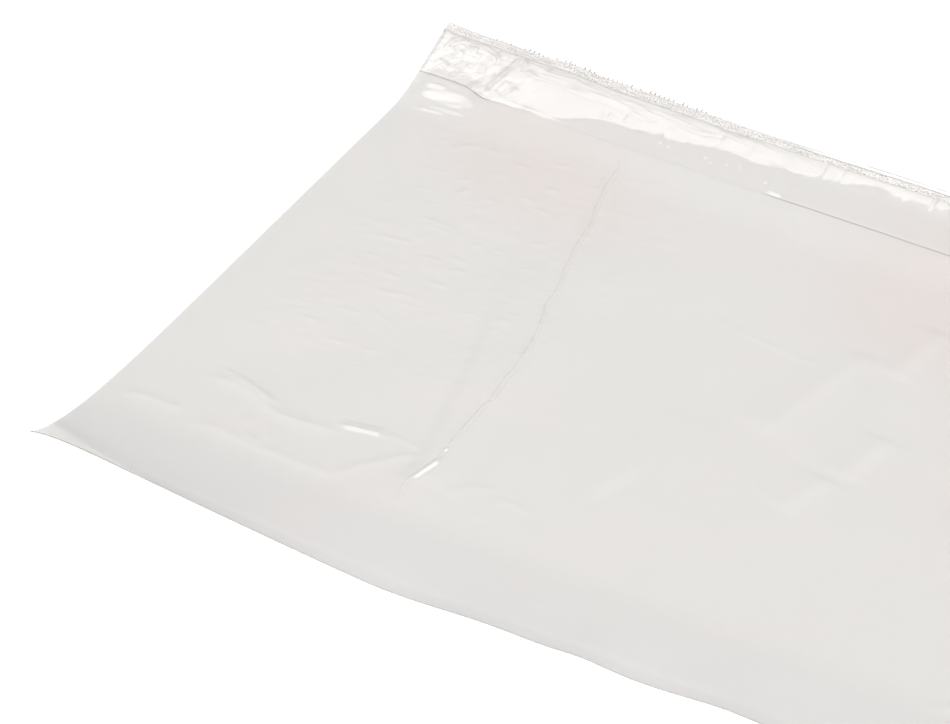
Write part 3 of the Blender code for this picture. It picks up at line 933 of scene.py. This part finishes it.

# the weld: small pressed diamonds between two lines, and a plain margin; the diamonds' light and shade are
# painted into the colour
look = Look("weld_look")
wobble = look.noise(look.moved(size=(0.0009, 0.0006)), 1.0, 1.0)
across = look.math("MULTIPLY", look.u, 2 * math.pi / 0.00059)
up = look.math("MULTIPLY", look.v, 2 * math.pi / 0.00060)
up = look.math("ADD", up, look.math("MULTIPLY", wobble, 3.0))
one = look.math("SINE", look.math("ADD", across, up))
two = look.math("SINE", look.math("SUBTRACT", across, up))
diamonds = look.math("MULTIPLY", one, two)
specks = look.noise(look.moved(size=(0.00045, 0.00045)), 1.0, 1.0, 0.7)
weld_breakup = look.noise(look.moved(size=(0.004, 0.0012)), 1.0, 1.0)
# painted light and shade of the pressed diamonds and their glints, from dark to light
value = look.math("ADD", look.math("MULTIPLY", diamonds, 0.46), look.spread(specks, 0, 1, -0.30, 1.15))
value = look.math("ADD", value, look.spread(weld_breakup, 0.3, 0.7, -0.10, 0.14))
colour = look.ramp(
    value,
    (0.04, (0.31, 0.30, 0.29)),
    (0.24, (0.56, 0.545, 0.535)),
    (0.46, (0.77, 0.76, 0.75)),
    (0.70, (0.92, 0.91, 0.90)),
)
blots = look.noise(look.moved(size=(0.0034, 0.0018)), 1.0, 1.0)
blot = look.ramp(blots, (0.34, (0.985, 0.988, 0.970)), (0.5, (1.0, 1.0, 1.0)), (0.66, (1.0, 0.965, 0.97)))
colour = look.mix(1.0, colour, blot, "MULTIPLY")
plain = look.math(
    "MULTIPLY",
    look.spread(look.u, 0.086, 0.100, 0.0, 1.0, True),
    look.spread(look.v, 0.17700, 0.17720),
)
colour = look.mix(plain, colour, (0.92, 0.92, 0.91))
lines = None
for middle, half in ((0.17505, 0.00011), (0.17455, 0.00005), (0.17690, 0.00009)):
    off = look.math("ABSOLUTE", look.math("SUBTRACT", look.v, middle))
    line = look.spread(off, half, half + 0.00014, 0.62, 0.0)
    if middle > 0.1760:
        line = look.math("MULTIPLY", line, look.spread(look.u, 0.080, 0.092))
    else:
        line = look.math("MULTIPLY", line, look.spread(look.u, 0.048, 0.070, 1.0, 0.45))
    lines = line if lines is None else look.math("MAXIMUM", lines, line)
outer = look.math("MULTIPLY", look.spread(look.v, 0.17778, 0.17790), look.spread(look.u, 0.060, 0.085, 0.25, 1.0))
teeth = look.math(
    "MULTIPLY",
    look.spread(look.u, 0.086, 0.060, 0.35, 1.0, True),
    look.spread(look.v, 0.17785, 0.17840),
)
lines = look.math("MAXIMUM", lines, outer)
lines = look.math("MULTIPLY", lines, look.spread(weld_breakup, 0.36, 0.56, 0.4, 1.0))
colour = look.mix(lines, colour, (0.32, 0.29, 0.275))
colour = look.mix(teeth, colour, (0.30, 0.28, 0.26))
weld_look = look.finish(colour, look.spread(specks, 0.3, 0.7, 0.22, 0.42), 1.0, 0.5)


def edge_look(name, dark, light, shown=None, clear=1.0):
    """The cut edge of a web. shown gives how dark it is along the mouth, where the dark edge also stands for
    painted shadow in the gap under the lip's edge.
    """
    look = Look(name)
    n = look.noise(look.moved(size=(0.0012, 0.0012)), 1.0, 1.0)
    colour = look.ramp(n, (0.35, dark), (0.7, light))
    if shown is not None:
        near = look.ramp(look.spread(look.u, 0.0, WIDTH), *shown)
        top = look.spread(look.v, HEIGHT - 0.006, HEIGHT - 0.002)
        colour = look.mix(look.math("MAXIMUM", near, top), (0.93, 0.92, 0.91), colour)
    return look.finish(colour, look.spread(n, 0.3, 0.7, 0.3, 0.5), clear, 0.4)


def grey(mm, value):
    return (mm * MM / WIDTH, (value, value, value))


rim_look = edge_look("film_rim_look", (0.60, 0.58, 0.56), (0.72, 0.70, 0.68), clear=0.45)
# the lip's mouth edge: its own dark cut edge and painted shadow of the gap beneath, where it stands off the face
# film
mouth_rim_and_gap_shadow_look = edge_look(
    "lip_rim_and_gap_shadow_look", (0.27, 0.22, 0.19), (0.38, 0.32, 0.29),
    [grey(0, 1), grey(17, 1), grey(20.5, 0.0), grey(86, 0.0), grey(92, 0.9), grey(254, 0.9)],
)  # fmt: skip
liner_rim_look = edge_look("liner_rim_look", (0.70, 0.69, 0.67), (0.80, 0.79, 0.77))

# The inner sides of the clear films add nothing to what their outer sides show.
look = Look("film_inner_look")
cloud = look.noise(look.moved(size=(0.03, 0.03)), 1.0, 0.0)
colour = look.ramp(cloud, (0.35, (0.78, 0.78, 0.77)), (0.65, (0.79, 0.78, 0.77)))
inner_look = look.finish(colour, 0.3, 0.0, 0.5)
lip.data.materials[3] = weld_look

for obj, look, rim, node, slot in (
    (liner, liner_look, liner_rim_look, "release_liner", "liner_paper"),
    (back, back_look, rim_look, "back_film", "back_film"),
    (face, face_look, rim_look, "face_film", "face_film"),
    (lip, lip_look, mouth_rim_and_gap_shadow_look, "lip_film", "lip_film"),
):
    obj.data.materials[0] = look
    obj.data.materials[1] = rim
    obj.data.materials[2] = look if obj is liner else inner_look
    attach(obj, "root")
    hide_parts(node)

# ---------------------------------------------------------------------- camera
TURN = math.radians(30.414)
RISE = math.radians(36.484)
DISTANCE = 2.5811
target = Vector((-0.06327, -0.00926, 0.0))
right = Vector((math.cos(TURN), math.sin(TURN), 0.0))
away = Vector((-math.sin(TURN), math.cos(TURN), 0.0))
forward = away * math.cos(RISE) - Vector((0.0, 0.0, math.sin(RISE)))
upward = away * math.sin(RISE) + Vector((0.0, 0.0, math.cos(RISE)))
lens = bpy.data.cameras.new("camera")
lens.sensor_fit = "HORIZONTAL"
lens.sensor_width = 36.0
lens.lens = 12000.0 / 950.0 * 36.0
lens.clip_start = 0.05
lens.clip_end = 50.0
camera = bpy.data.objects.new("camera", lens)
bpy.context.scene.collection.objects.link(camera)
turned = Matrix((right, upward, -forward)).transposed().to_4x4()
camera.matrix_world = Matrix.Translation(target - forward * DISTANCE) @ turned
bpy.context.scene.camera = camera

# ------------------------------------------------------- floor, light and world
floor_mesh = bpy.data.meshes.new("floor")
F = 12.0
floor_mesh.from_pydata([(-F, -F, 0), (F, -F, 0), (F, F, 0), (-F, F, 0)], [], [(0, 1, 2, 3)])
floor = bpy.data.objects.new("floor", floor_mesh)
floor.location.z = -0.0002
bpy.context.scene.collection.objects.link(floor)
floor_look = bpy.data.materials.new("floor_look")
floor_look.use_nodes = True
shader = floor_look.node_tree.nodes["Principled BSDF"]
shader.inputs["Base Color"].default_value = (0.62, 0.62, 0.62, 1.0)
shader.inputs["Roughness"].default_value = 1.0
shader.inputs["Specular IOR Level"].default_value = 0.0
shader.inputs["Emission Color"].default_value = (1.0, 1.0, 1.0, 1.0)
shader.inputs["Emission Strength"].default_value = 0.62
floor_mesh.materials.append(floor_look)


def area_light(name, shape, size, place, towards, radiance):
    """An area light of a given radiance, facing along the direction towards."""
    light = bpy.data.lights.new(name, "AREA")
    light.shape = shape
    light.size, light.size_y = size
    area = size[0] * size[1] * (1.0 if shape == "RECTANGLE" else math.pi / 4)
    light.energy = 4.0 * radiance * area
    light.color = (1.0, 0.99, 0.972)
    obj = bpy.data.objects.new(name, light)
    obj.location = place
    obj.rotation_euler = (-Vector(towards)).to_track_quat("Z", "Y").to_euler()
    bpy.context.scene.collection.objects.link(obj)


def disk_light(name, direction, half_angle, radiance, distance=2.2):
    """A round soft light, seen from the object at that half angle."""
    direction = Vector(direction).normalized()
    across = 2.0 * distance * math.tan(math.radians(half_angle))
    area_light(name, "DISK", (across, across), direction * distance, -direction, radiance)


area_light("ceiling_panel", "RECTANGLE", (2.6, 1.86), (-0.05, -0.59, 2.0), (0, 0, -1), 1.15)
overhead = Vector((-0.050, 0.080, 0.0)) + Vector((-0.407, -0.040, 0.912)) * 2.2
area_light("overhead_soft_light", "ELLIPSE", (0.78, 1.20), overhead, (0.407, 0.040, -0.912), 1.7)
area_light("overhead_core", "ELLIPSE", (0.30, 0.90), overhead, (0.407, 0.040, -0.912), 2.6)
disk_light("far_right_soft_light", (0.27, 0.48, 0.83), 6.0, 7.0)

# The room gets brighter with height, so that gloss on ripples has a gradient.
world = bpy.data.worlds.new("world")
bpy.context.scene.world = world
world.use_nodes = True
nodes, links = world.node_tree.nodes, world.node_tree.links
room = nodes.new("ShaderNodeTexCoord")
parts = nodes.new("ShaderNodeSeparateXYZ")
rise = nodes.new("ShaderNodeMapRange")
rise.interpolation_type = "SMOOTHSTEP"
rise.inputs["From Min"].default_value = 0.40
rise.inputs["From Max"].default_value = 0.86
rise.inputs["To Min"].default_value = 0.30
rise.inputs["To Max"].default_value = 1.0
links.new(room.outputs["Generated"], parts.inputs["Vector"])
links.new(parts.outputs["Z"], rise.inputs["Value"])
fill = nodes["Background"]
fill.inputs["Color"].default_value = (1.0, 0.992, 0.98, 1.0)
links.new(rise.outputs["Result"], fill.inputs["Strength"])

scene = bpy.context.scene
scene.view_settings.view_transform = "Standard"
scene.cycles.transparent_max_bounces = 24
